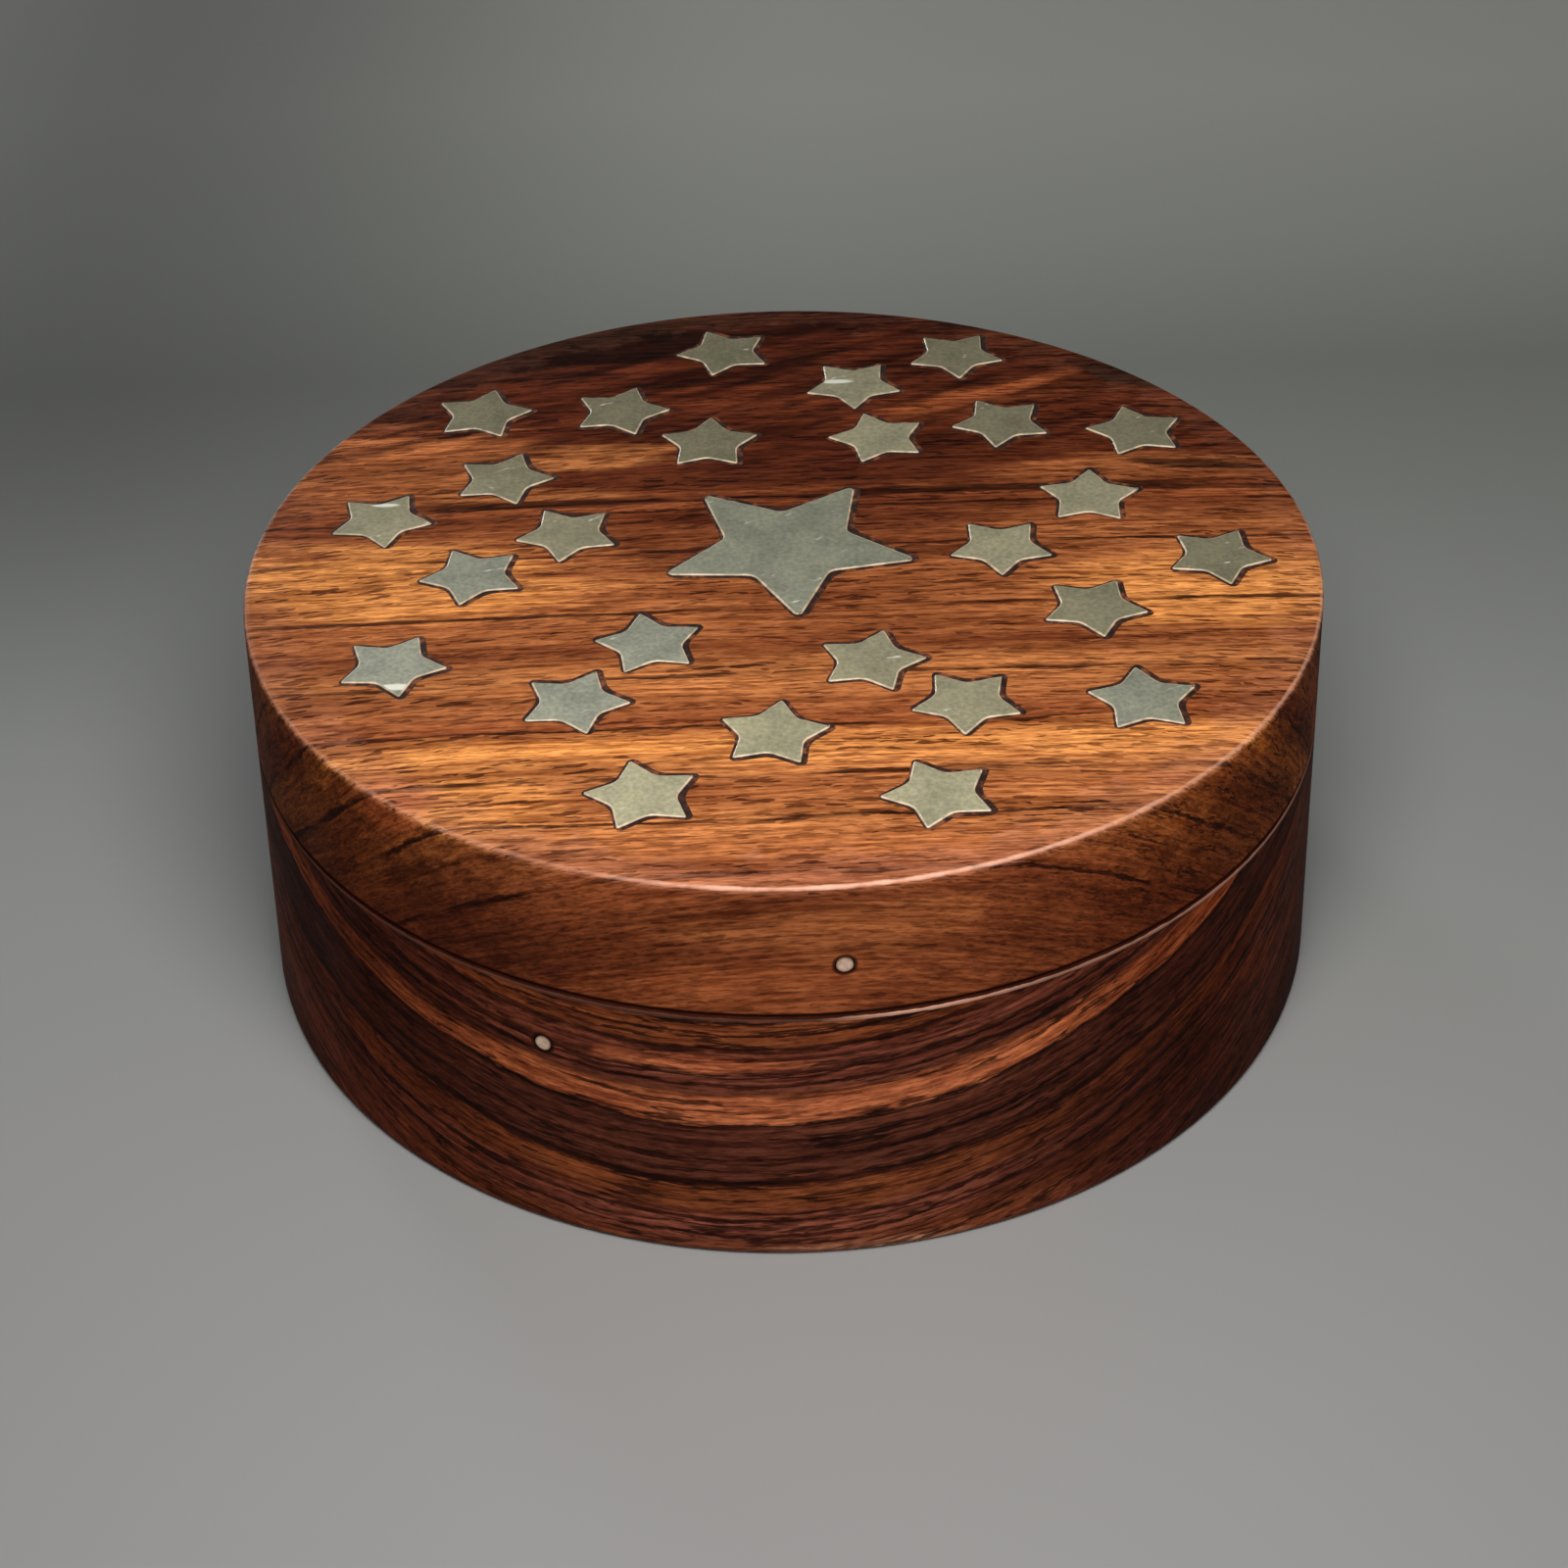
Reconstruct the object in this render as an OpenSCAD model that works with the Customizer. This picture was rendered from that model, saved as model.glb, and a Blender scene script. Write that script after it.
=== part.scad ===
// Round turned wooden box with a push-fit lid. Stars of shell are let into the top of the lid,
// one large star in the middle with three rings of small ones about it, each bedded in dark
// filler. Two small pegs let into the side, one in the lid and one in the base, are the makers'
// marks that show which way round the lid's grain meets the base's.
// Z is up, and the origin is the centre of the underside.

/* [Outside] */
// Diameter across the top of the lid
top_dia = 102; // [90:1:130]
// How far the side leans out from the lid's top to the foot, on the radius
draft = 1; // [0:0.1:3]
// Height of the base from the foot to the shoulder that the lid rests on
base_h = 27.4; // [24:0.1:60]
// Height of the lid
lid_h = 13.5; // [11:0.1:25]
// Rounding of the edge round the lid's top
rim_round = 0.6; // [0.2:0.1:2]
// Rounding of the edge round the foot
foot_round = 0.8; // [0.2:0.1:2]
// Bevel on the base's edge at the seam
base_bevel = 0.45; // [0.1:0.05:1]
// Bevel on the lid's edge at the seam
lid_bevel = 0.25; // [0.1:0.05:1]

/* [Inside] */
// Thickness of the base's wall at its mouth, spigot and shoulder together
mouth_wall = 9.2; // [7.5:0.1:14]
// Thickness of the spigot that stands up into the lid
spigot_wall = 3.4; // [2.5:0.1:5]
// Height of the spigot above the shoulder
spigot_h = 6.5; // [4.5:0.1:7.5]
// Bevel that leads the spigot's top edge into the lid
spigot_bevel = 0.6; // [0.2:0.1:1]
// Bevel at the mouth of the lid's hollow
mouth_bevel = 0.4; // [0.1:0.1:1]
// Thickness of the base's floor
floor_t = 5.5; // [3:0.1:10]
// Radius of the cove between the wall and the floor inside
cove = 5; // [1:0.5:9]
// Clearance all round between the spigot and the lid
lid_fit = 0.08; // [0.02:0.01:0.1]
// Room left between the spigot's top and the lid's ceiling
lid_gap = 0.6; // [0.3:0.1:1]

/* [Stars] */
// Small star, centre to the point where two edges would meet at a tip
small_tip = 5.2; // [4:0.1:5.8]
// Small star, centre to the point where two edges would meet in a notch
small_notch = 3; // [2:0.1:3.4]
// Rounding of a small star's tips
small_tip_round = 0.18; // [0.1:0.02:0.5]
// Rounding of a small star's notches
small_notch_round = 1.5; // [0.8:0.1:2]
// Wood left between the reach of the middle star's tips and that of the inner ring's stars
big_gap = 3.3; // [1:0.1:5]
// Middle star's notches, as a share of its tips' distance from the centre
big_notch_share = 0.48; // [0.35:0.01:0.6]
// Rounding of the middle star's tips
big_tip_round = 0.5; // [0.2:0.05:0.8]
// Rounding of the middle star's notches
big_notch_round = 1.2; // [0.8:0.1:2]
// Depth that the stars are let into the lid
pocket_depth = 1.7; // [0.8:0.1:3]
// How far the stars stand proud of the wood
star_proud = 0.1; // [0:0.05:0.4]
// Width of the dark filler round a small star
small_filler = 0.38; // [0.3:0.02:0.6]
// Width of the dark filler round the middle star
big_filler = 0.45; // [0.3:0.05:0.8]
// Rounding of the notches of a cut pocket, which a knife leaves fuller than the star's
pocket_notch_round = 2.2; // [1:0.1:3]
// How far a pocket's middle lies off its star's, towards the right
pocket_slip = 0.2; // [0:0.01:0.25]
// How many degrees round that side varies from star to star
pocket_slip_spread = 50; // [0:5:180]

/* [Star pattern] */
// Distance from the lid's edge in to the outer ring of stars
edge_margin = 10; // [8.5:0.1:12]
// Distance from one ring of stars in to the next
ring_step = 9.8; // [9:0.1:10]
// How far the pattern sits to the right of the lid's centre
pattern_right = 0.5; // [-1:0.1:1]
// How far the pattern sits behind the lid's centre
pattern_back = 2.4; // [-3:0.1:3]

/* [Marking pegs] */
// Diameter of a peg
peg_dia = 1.5; // [1:0.1:2.5]
// Length of a peg
peg_len = 3; // [2:0.1:4]
// Glue line all round a peg
peg_glue = 0.12; // [0.02:0.01:0.2]
// Distance from the seam up to the lid's peg
lid_peg_up = 5.3; // [2:0.1:7]
// Distance from the seam down to the base's peg
base_peg_down = 6.3; // [2:0.1:12]
// Lid's peg, degrees round from the front towards the right
lid_peg_turn = 5; // [-180:1:180]
// Base's peg, degrees round from the front towards the right
base_peg_turn = -25; // [-180:1:180]

/* [Hidden] */
top_r = top_dia / 2;
box_h = base_h + lid_h;
mouth_r = side_r(base_h) - mouth_wall;
spigot_r = mouth_r + spigot_wall;
recess_r = spigot_r + lid_fit;
recess_h = spigot_h + lid_gap;
pocket_z = box_h - pocket_depth;
star_t = pocket_depth + star_proud;
outer_r = top_r - edge_margin;
middle_r = outer_r - ring_step;
inner_r = middle_r - ring_step;
big_tip = inner_r - small_tip - big_gap;
big_notch = big_tip * big_notch_share;

POINTS = 5;                  // points on a star
TIP_STEP = 360 / POINTS;     // degrees from one tip to the next
TURNED_FN = 144;             // facets round a turned surface
PEG_FN = 32;
ARC_STEPS = 4;               // straight steps round a rounded corner

// The rings were set out by eye: each star has its own slip round the ring in degrees, its own
// distance out from the ring in millimetres, and its own turn about its centre in degrees.
outer_start = 102;
outer_slip = [-3, -2, 0, 1, 1, 5, 6, -2, -3, 1];
outer_out = [-1.5, 0.5, 0, 0, 0.5, 1.5, 1, 0, -1, 0];
outer_turn = [40, 56, 28, 61, 21, 40, 31, 66, 63, 7];
middle_start = 82;
middle_slip = [-5, 0, 5, 3, 2, 5, 7, -2, 0, 4];
middle_out = [1, 0.5, -0.5, -0.5, 0, 0, 1, -1, 0, 0.5];
middle_turn = [54, 44, 13, 60, 49, 9, 69, 44, 0, 1];
inner_start = 54;
inner_slip = [11, 3, -4, -2, -2, -3];
inner_out = [1, -1, 0, -0.5, 0, 0];
inner_turn = [33, 52, 3, 29, 47, 16];
middle_star_turn = 58;

OUTER_NAMES = [for (i = [1 : len(outer_slip)]) numbered("star_outer_", i)];
MIDDLE_NAMES = [for (i = [1 : len(middle_slip)]) numbered("star_middle_", i)];
INNER_NAMES = [for (i = [1 : len(inner_slip)]) numbered("star_inner_", i)];

function numbered(stem, i) = str(stem, i < 10 ? "0" : "", i);

// Radius of the side at height z, which leans in evenly from the foot to the top
function side_r(z) = top_r + draft * (1 - z / box_h);

function unit(v) = v / norm(v);
function spun(v, a) = [v.x * cos(a) - v.y * sin(a), v.x * sin(a) + v.y * cos(a)];

// Points that take an outline round corner p to radius r, between its neighbours a and b
function corner(a, p, b, r) =
    let (
        u = unit(a - p),
        v = unit(b - p),
        half = acos(u * v) / 2,
        reach = r / tan(half),
        centre = p + unit(u + v) * r / sin(half),
        from = p + u * reach - centre,
        to = p + v * reach - centre,
        sweep = sign(cross(from, to)) * (180 - 2 * half)
    )
    [for (i = [0 : ARC_STEPS]) centre + spun(from, sweep * i / ARC_STEPS)];

// An outline from corners given as [x, y, rounding], with 0 for a sharp corner
function rounded(corners) =
    let (
        n = len(corners),
        at = [for (c = corners) [c.x, c.y]]
    )
    [for (i = [0 : n - 1])
        each corners[i].z > 0
            ? corner(at[(i + n - 1) % n], at[i], at[(i + 1) % n], corners[i].z)
            : [at[i]]];

// A star's outline, with tips at the radius tip and notches at the radius notch before rounding
function star(tip, notch, tip_round, notch_round) =
    rounded([for (k = [0 : POINTS - 1])
        each [concat(spun([tip, 0], TIP_STEP * k), tip_round),
              concat(spun([notch, 0], TIP_STEP * (k + 0.5)), notch_round)]]);

// The outline of the pocket for such a star, whose edges lie filler further out
function pocket(tip, notch, tip_round, filler) =
    let (
        half_step = TIP_STEP / 2,
        edge_angle = atan2(notch * sin(half_step), tip - notch * cos(half_step)),
        pocket_tip = tip + filler / sin(edge_angle),
        pocket_notch = notch + filler / sin(edge_angle + half_step)
    )
    star(pocket_tip, pocket_notch, tip_round + filler, pocket_notch_round);

small_star = star(small_tip, small_notch, small_tip_round, small_notch_round);
small_pocket = pocket(small_tip, small_notch, small_tip_round, small_filler);
big_star = star(big_tip, big_notch, big_tip_round, big_notch_round);
big_pocket = pocket(big_tip, big_notch, big_tip_round, big_filler);

// Where each small star goes, as [degrees round, distance out, degrees of turn]
function ring(r, start, slip, out, turn) =
    [for (i = [0 : len(slip) - 1]) [start - 360 / len(slip) * i + slip[i], r + out[i], turn[i]]];

outer_places = ring(outer_r, outer_start, outer_slip, outer_out, outer_turn);
middle_places = ring(middle_r, middle_start, middle_slip, middle_out, middle_turn);
inner_places = ring(inner_r, inner_start, inner_slip, inner_out, inner_turn);
all_places = concat(outer_places, middle_places, inner_places);

// Seat a star or its pocket on the pockets' floor, at its place in the pattern
module place(p) {
    translate([pattern_right, pattern_back, pocket_z])
        rotate(p[0]) translate([p[1], 0, 0]) rotate(p[2] - p[0]) children();
}

// The middle of a pocket lies off its star, towards the right give or take the spread
module slipped(p) {
    way = pocket_slip_spread * sin(5 * p[0]) - p[2];
    translate(concat(spun([pocket_slip, 0], way), 0)) children();
}

module small_shape(height, outline) {
    linear_extrude(height) polygon(outline);
}

module small_stars(names, places) {
    for (i = [0 : len(names) - 1])
        color("#8f9c8a") place(places[i]) small_shape(star_t, small_star);
}

middle_place = [0, 0, middle_star_turn];

module star_center() {
    color("#7c8578") place(middle_place) linear_extrude(star_t) polygon(big_star);
}

// Every pocket in the lid, as high as height above the pockets' floor
module pockets(height) {
    for (p = all_places) place(p) slipped(p) small_shape(height, small_pocket);
    place(middle_place) slipped(middle_place) linear_extrude(height) polygon(big_pocket);
}

// The filler fills each pocket round its star, level with the wood
module star_filler() {
    color("#2a1a12") {
        for (p = all_places) place(p) difference() {
            slipped(p) small_shape(pocket_depth, small_pocket);
            translate([0, 0, -1]) small_shape(pocket_depth + 2, small_star);
        }
        place(middle_place) difference() {
            slipped(middle_place) linear_extrude(pocket_depth) polygon(big_pocket);
            translate([0, 0, -1]) linear_extrude(pocket_depth + 2) polygon(big_star);
        }
    }
}

module turned(profile) {
    rotate_extrude($fn = TURNED_FN) polygon(rounded(profile));
}

// Lay a peg along the radius at a height, with its outer end flush with the side
module peg_at(turn, z) {
    rotate(turn - 90) translate([side_r(z) - peg_len, 0, z]) rotate([0, 90, 0]) children();
}

lid_peg_z = base_h + lid_peg_up;
base_peg_z = base_h - base_peg_down;

module peg() {
    color("#d8c3a0") cylinder(h = peg_len, d = peg_dia, $fn = PEG_FN);
}

module peg_hole() {
    cylinder(h = peg_len + 1, d = peg_dia + 2 * peg_glue, $fn = PEG_FN);
}

module base() {
    spigot_top = base_h + spigot_h;
    profile = [
        [0, 0, 0],
        [side_r(0), 0, foot_round],
        [side_r(base_h - base_bevel), base_h - base_bevel, 0],
        [side_r(base_h) - base_bevel, base_h, 0],
        [spigot_r, base_h, 0],
        [spigot_r, spigot_top - spigot_bevel, 0],
        [spigot_r - spigot_bevel, spigot_top, 0],
        [mouth_r + spigot_bevel, spigot_top, 0],
        [mouth_r, spigot_top - spigot_bevel, 0],
        [mouth_r, floor_t, cove],
        [0, floor_t, 0]
    ];
    color("#5a2f20") difference() {
        turned(profile);
        peg_at(base_peg_turn, base_peg_z) peg_hole();
    }
}

module lid() {
    profile = [
        [0, base_h + recess_h, 0],
        [recess_r, base_h + recess_h, 0],
        [recess_r, base_h + mouth_bevel, 0],
        [recess_r + mouth_bevel, base_h, 0],
        [side_r(base_h) - lid_bevel, base_h, 0],
        [side_r(base_h + lid_bevel), base_h + lid_bevel, 0],
        [side_r(box_h), box_h, rim_round],
        [0, box_h, 0]
    ];
    color("#9a5a30") difference() {
        turned(profile);
        pockets(pocket_depth + 1);
        peg_at(lid_peg_turn, lid_peg_z) peg_hole();
    }
}

module lid_mark_peg() {
    peg_at(lid_peg_turn, lid_peg_z) peg();
}

module base_mark_peg() {
    peg_at(base_peg_turn, base_peg_z) peg();
}

base();
lid();
star_center();
small_stars(OUTER_NAMES, outer_places);
small_stars(MIDDLE_NAMES, middle_places);
small_stars(INNER_NAMES, inner_places);
star_filler();
lid_mark_peg();
base_mark_peg();
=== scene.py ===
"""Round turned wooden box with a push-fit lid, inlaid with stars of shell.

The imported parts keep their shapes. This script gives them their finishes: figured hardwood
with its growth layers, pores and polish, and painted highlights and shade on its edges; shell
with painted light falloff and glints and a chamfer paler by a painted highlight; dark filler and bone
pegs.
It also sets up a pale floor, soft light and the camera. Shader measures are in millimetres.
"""

import math
from collections import namedtuple

import bpy
from mathutils import Matrix, Vector


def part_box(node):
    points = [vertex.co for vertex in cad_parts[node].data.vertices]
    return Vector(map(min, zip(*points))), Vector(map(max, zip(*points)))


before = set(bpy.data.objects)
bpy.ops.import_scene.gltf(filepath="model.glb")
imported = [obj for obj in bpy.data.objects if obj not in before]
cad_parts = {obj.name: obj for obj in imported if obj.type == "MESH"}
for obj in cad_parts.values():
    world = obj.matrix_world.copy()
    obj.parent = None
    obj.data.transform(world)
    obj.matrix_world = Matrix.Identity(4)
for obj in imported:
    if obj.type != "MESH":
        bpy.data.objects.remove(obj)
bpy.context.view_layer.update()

MM = 0.001

# Camera: where it stands and what it looks at, in millimetres, with its lens and lean
CAMERA_AT = Vector((0, -254, 199.3))
CAMERA_AIM = Vector((-0.35, 0, 14.4))
CAMERA_LEAN = math.radians(1.33)
CAMERA_LENS = 72
CAMERA_SENSOR = 36
CAMERA_NEAR = 10

# Light: a soft lamp above the front, a weak low one behind and a dim room, powers in watts
KEY_AT, KEY_SIZE, KEY_POWER = Vector((10, -140, 205)), 120, 0.5
FILL_AT, FILL_SIZE, FILL_POWER = Vector((-420, 780, 140)), 300, 5
KEY_COLOUR, FILL_COLOUR = (1, 0.98, 0.95), (0.95, 0.98, 1)
LAMP_AIM = Vector((0, -10, 30))
ROOM_COLOUR, ROOM_LIGHT = (0.88, 0.9, 0.92), 0.2

# Floor: its size, how far behind the box it stands up, and the radius and steps of its bend
FLOOR_SIZE, FLOOR_BACK, FLOOR_BEND, FLOOR_STEPS = 3000, 900, 500, 24
# The floor paper's tones from front to back, which darken into a painted shadow of a soft fold behind
# the box
FLOOR_TONES = [(-250, (138, 135, 136)), (-60, (147, 146, 146)), (30, (153, 155, 153)),
               (80, (142, 144, 140)), (112, (136, 138, 132)), (150, (166, 168, 161)),
               (200, (190, 191, 183)), (300, (198, 198, 190))]
# Painted shade on the paper on the left behind: where it starts and is whole, leftwards and backwards
DIM_LEFT, DIM_BACK = (10, -110), (0, 120)
DIM_TONE, DIM_SHARE = (24, 26, 24), 0.68
FLOOR_ROUGHNESS = 0.7

# The box: its heights, and its radii at the foot and at the top of a side that leans in
LID_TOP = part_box("lid")[1].z / MM
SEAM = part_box("lid")[0].z / MM
FOOT_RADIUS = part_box("base")[1].x / MM
DRAFT = 1.0
TOP_RADIUS = FOOT_RADIUS - DRAFT


# ---------------------------------------------------------------- node trees

class Tree:
    """A node tree being wired. Each method adds nodes and gives back the last one's output."""

    def __init__(self, tree):
        self.tree = tree

    def node(self, kind, **settings):
        made = self.tree.nodes.new(kind)
        for name, value in settings.items():
            setattr(made, name, value)
        return made

    def put(self, socket, value):
        if isinstance(value, bpy.types.NodeSocket):
            self.tree.links.new(value, socket)
        elif isinstance(value, tuple) and socket.type == "RGBA" and len(value) == 3:
            socket.default_value = (*value, 1)
        else:
            socket.default_value = value

    def math(self, operation, a, b=0.0, c=0.0, clamp=False):
        made = self.node("ShaderNodeMath", operation=operation, use_clamp=clamp)
        for socket, value in zip(made.inputs, (a, b, c)):
            self.put(socket, value)
        return made.outputs[0]

    def vector(self, operation, a, b=(0, 0, 0)):
        made = self.node("ShaderNodeVectorMath", operation=operation)
        self.put(made.inputs[0], a)
        self.put(made.inputs[1], b)
        return made.outputs["Value" if operation == "LENGTH" else "Vector"]

    def away(self, point, middle, reach=(1, 1, 1)):
        """How far the point is from a middle, where 1 is the reach along each axis."""
        off = self.vector("SUBTRACT", point, middle)
        return self.vector("LENGTH", self.vector("DIVIDE", off, reach))

    def turned(self, vector, degrees):
        """The vector in axes that are turned about Z."""
        made = self.node("ShaderNodeVectorRotate", rotation_type="Z_AXIS")
        self.put(made.inputs["Vector"], vector)
        self.put(made.inputs["Angle"], self.math("MULTIPLY", degrees, -math.radians(1)))
        return made.outputs[0]

    def split(self, vector):
        made = self.node("ShaderNodeSeparateXYZ")
        self.put(made.inputs[0], vector)
        return made.outputs

    def join(self, x, y, z):
        made = self.node("ShaderNodeCombineXYZ")
        for socket, value in zip(made.inputs, (x, y, z)):
            self.put(socket, value)
        return made.outputs[0]

    def noise(self, vector, scale=1.0, detail=3.0, roughness=0.5):
        made = self.node("ShaderNodeTexNoise")
        self.put(made.inputs["Vector"], vector)
        self.put(made.inputs["Scale"], scale)
        self.put(made.inputs["Detail"], detail)
        self.put(made.inputs["Roughness"], roughness)
        return made.outputs["Fac"]

    def streaks(self, vector, size, detail=3.0, roughness=0.5):
        """Noise whose blobs have this size along each axis, in millimetres."""
        return self.noise(self.vector("DIVIDE", vector, size), detail=detail, roughness=roughness)

    def sway(self, value, noise, amount):
        """The value, moved to and fro by an amount of a noise that is even about 0.5."""
        return self.math("MULTIPLY_ADD", self.math("SUBTRACT", noise, 0.5), amount, value)

    def cells(self, vector):
        """Cells of size 1, each with its middle and a chance colour."""
        made = self.node("ShaderNodeTexVoronoi")
        self.put(made.inputs["Vector"], vector)
        self.put(made.inputs["Scale"], 1.0)
        return made.outputs

    def span(self, value, low, high, to_low=0.0, to_high=1.0, smooth=False):
        """The value from low to high, as it runs from to_low to to_high and stays there."""
        kind = "SMOOTHSTEP" if smooth else "LINEAR"
        made = self.node("ShaderNodeMapRange", interpolation_type=kind)
        for socket, given in zip(made.inputs, (value, low, high, to_low, to_high)):
            self.put(socket, given)
        return made.outputs[0]

    def mix(self, share, a, b, blend="MIX"):
        """Colour a, with a share from 0 to 1 of colour b."""
        made = self.node("ShaderNodeMix", data_type="RGBA", blend_type=blend)
        self.put(made.inputs["Factor"], share)
        self.put(made.inputs[6], a)
        self.put(made.inputs[7], b)
        return made.outputs[2]

    def ramp(self, value, stops):
        """Colours along a value from 0 to 1, from stops of (place, colour)."""
        made = self.node("ShaderNodeValToRGB")
        elements = made.color_ramp.elements
        while len(elements) < len(stops):
            elements.new(0.5)
        for element, (place, colour) in zip(elements, stops):
            element.position = place
            element.color = (*colour, 1)
        self.put(made.inputs[0], value)
        return made.outputs[0]

    def bump(self, height, strength, distance):
        made = self.node("ShaderNodeBump")
        self.put(made.inputs["Strength"], strength)
        self.put(made.inputs["Distance"], distance)
        self.put(made.inputs["Height"], height)
        return made.outputs[0]

    def use(self, group, **values):
        """Places a node group, with its inputs given by name with _ for a space."""
        made = self.node("ShaderNodeGroup")
        made.node_tree = group
        for name, value in values.items():
            self.put(made.inputs[name.replace("_", " ")], value)
        return made.outputs


SOCKETS = {"value": "NodeSocketFloat", "vector": "NodeSocketVector"}


def new_group(name, inputs, outputs):
    """A shader node group with named sockets, as (group, wiring tree, input sockets, output node)."""
    group = bpy.data.node_groups.new(name, "ShaderNodeTree")
    for direction, sockets in (("INPUT", inputs), ("OUTPUT", outputs)):
        for label, kind in sockets:
            group.interface.new_socket(label, in_out=direction, socket_type=SOCKETS[kind])
    tree = Tree(group)
    given = tree.node("NodeGroupInput").outputs
    result = tree.node("NodeGroupOutput")
    return group, tree, given, result


def srgb(red, green, blue):
    """A colour given as 0 to 255 values, as the linear numbers that shaders use."""
    def linear(value):
        value /= 255
        return value / 12.92 if value <= 0.04045 else ((value + 0.055) / 1.055) ** 2.4
    return linear(red), linear(green), linear(blue)


# ---------------------------------------------------------------- wood

# Sizes of the noises in the wood, in millimetres along, through and round the fibre
WANDER_SIZE, JAG_SIZE = (45, 14, 14), (4, 0.7, 2.5)
UNEVEN_SIZE, WHOLE_SIZE = (20, 1.8, 8), (12, 1.0, 5)
STRAY_SIZE, RAGGED_SIZE = (2.2, 1.5, 1.5), (16, 1.6, 1.6)
# Streaks along the fibre: size, detail and roughness of each kind
STREAK_KINDS = {"Broad": ((26, 3.0, 12), 3, 0.5), "Narrow": ((6, 0.55, 3), 4, 0.65),
                "Hair": ((1.6, 0.28, 0.9), 2, 0.6), "Rings": ((34, 0.6, 13), 3, 0.6)}
# How far growth lines stray, in spacings, and which part of the noise leaves them whole
LINE_STRAY, LINE_WHOLE = 4.0, (0.36, 0.5)
# How far pores stray, in millimetres, and bow, per square millimetre along the fibre
PORE_STRAY, PORE_BOW = 1.2, 0.0022
# A pore's reach round the tree, in spacings, the smallest pore's share of the largest's size,
# and how sharp the edge of a pore is
PORE_ROUND, PORE_SMALLEST, PORE_SHARPNESS = 0.6, 0.45, 9.0
# How ragged a patch is, and where its edge starts and is whole, in its own reaches
PATCH_RAGGED, PATCH_EDGE = 1.5, (1.15, 0.6)
# A line, or an edge painted with light or shade, starts at its reach and is whole at half of it
SOFT_EDGE = (1.0, 0.5)
# How far out to a side, as a share of the radius, end grain starts and is whole
END_GRAIN_ACROSS = (0.1, 0.8)


def growth_layers():
    """Where a point lies in the tree: its layer, and its place along, through and round them."""
    group, tree, given, result = new_group(
        "growth layers",
        [("Point", "vector"), ("Rise back", "value"), ("Rise right", "value"),
         ("Arch", "value"), ("Wander", "value"), ("Jag", "value")],
        [("Layer", "value"), ("Fibre", "vector")])
    x, y, z = tree.split(given["Point"])
    layer = tree.math("MULTIPLY_ADD", y, given["Rise back"], z)
    layer = tree.math("MULTIPLY_ADD", x, given["Rise right"], layer)
    layer = tree.math("MULTIPLY_ADD", tree.math("MULTIPLY", x, x), given["Arch"], layer)
    slow = tree.streaks(given["Point"], WANDER_SIZE, detail=2)
    layer = tree.sway(layer, slow, given["Wander"])
    round_ring = tree.math("SUBTRACT", y, tree.math("MULTIPLY", z, given["Rise back"]))
    fibre = tree.join(x, layer, round_ring)
    quick = tree.streaks(fibre, JAG_SIZE, detail=3, roughness=0.65)
    tree.put(result.inputs["Layer"], tree.sway(layer, quick, given["Jag"]))
    tree.put(result.inputs["Fibre"], fibre)
    return group


def fibre_streaks():
    """Broad, narrow and hair-thin light and dark streaks along the fibre, and those of the rings."""
    group, tree, given, result = new_group(
        "fibre streaks", [("Fibre", "vector")], [(kind, "value") for kind in STREAK_KINDS])
    for kind, (size, detail, roughness) in STREAK_KINDS.items():
        streaks = tree.streaks(given["Fibre"], size, detail=detail, roughness=roughness)
        tree.put(result.inputs[kind], streaks)
    return group


def growth_lines():
    """Thin dark lines between the growth layers, unevenly spaced and broken here and there."""
    group, tree, given, result = new_group(
        "growth lines",
        [("Fibre", "vector"), ("Spacing", "value"), ("Thickness", "value")],
        [("Mask", "value")])
    uneven = tree.streaks(given["Fibre"], UNEVEN_SIZE, detail=4, roughness=0.6)
    stray = tree.math("MULTIPLY", given["Spacing"], LINE_STRAY)
    layer = tree.sway(tree.split(given["Fibre"])[1], uneven, stray)
    off = tree.math("PINGPONG", layer, tree.math("MULTIPLY", given["Spacing"], 0.5))
    line = tree.span(tree.math("DIVIDE", off, given["Thickness"]), *SOFT_EDGE, smooth=True)
    whole = tree.span(tree.streaks(given["Fibre"], WHOLE_SIZE, detail=3), *LINE_WHOLE)
    tree.put(result.inputs["Mask"], tree.math("MULTIPLY", line, whole))
    return group


def open_pores():
    """Pores cut open along the fibre, as dark dashes, or as dots where the cut is across."""
    group, tree, given, result = new_group(
        "open pores",
        [("Fibre", "vector"), ("Length", "value"), ("Spacing", "value"), ("Thickness", "value"),
         ("Share", "value"), ("Slant", "value")],
        [("Pore", "value")])
    along = tree.split(given["Fibre"])[0]
    shift = tree.math("MULTIPLY", along, given["Slant"])
    shift = tree.math("MULTIPLY_ADD", tree.math("MULTIPLY", along, along), PORE_BOW, shift)
    shift = tree.sway(shift, tree.streaks(given["Fibre"], STRAY_SIZE, detail=2), PORE_STRAY)
    fibre = tree.vector("ADD", given["Fibre"], tree.join(0.0, shift, 0.0))
    cell_size = tree.join(given["Length"], given["Spacing"], given["Spacing"])
    cell = tree.cells(tree.vector("DIVIDE", fibre, cell_size))
    middle = tree.vector("MULTIPLY", cell["Position"], cell_size)
    reach = tree.join(tree.math("MULTIPLY", given["Length"], 0.5), given["Thickness"],
                      tree.math("MULTIPLY", given["Spacing"], PORE_ROUND))
    kept_chance, size_chance, _ = tree.split(cell["Color"])
    size = tree.span(size_chance, 0.0, 1.0, PORE_SMALLEST, 1.0)
    inside = tree.math("SUBTRACT", size, tree.away(fibre, middle, reach))
    depth = tree.math("MULTIPLY", inside, PORE_SHARPNESS, clamp=True)
    kept = tree.math("LESS_THAN", kept_chance, given["Share"])
    tree.put(result.inputs["Pore"], tree.math("MULTIPLY", depth, kept))
    return group


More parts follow.
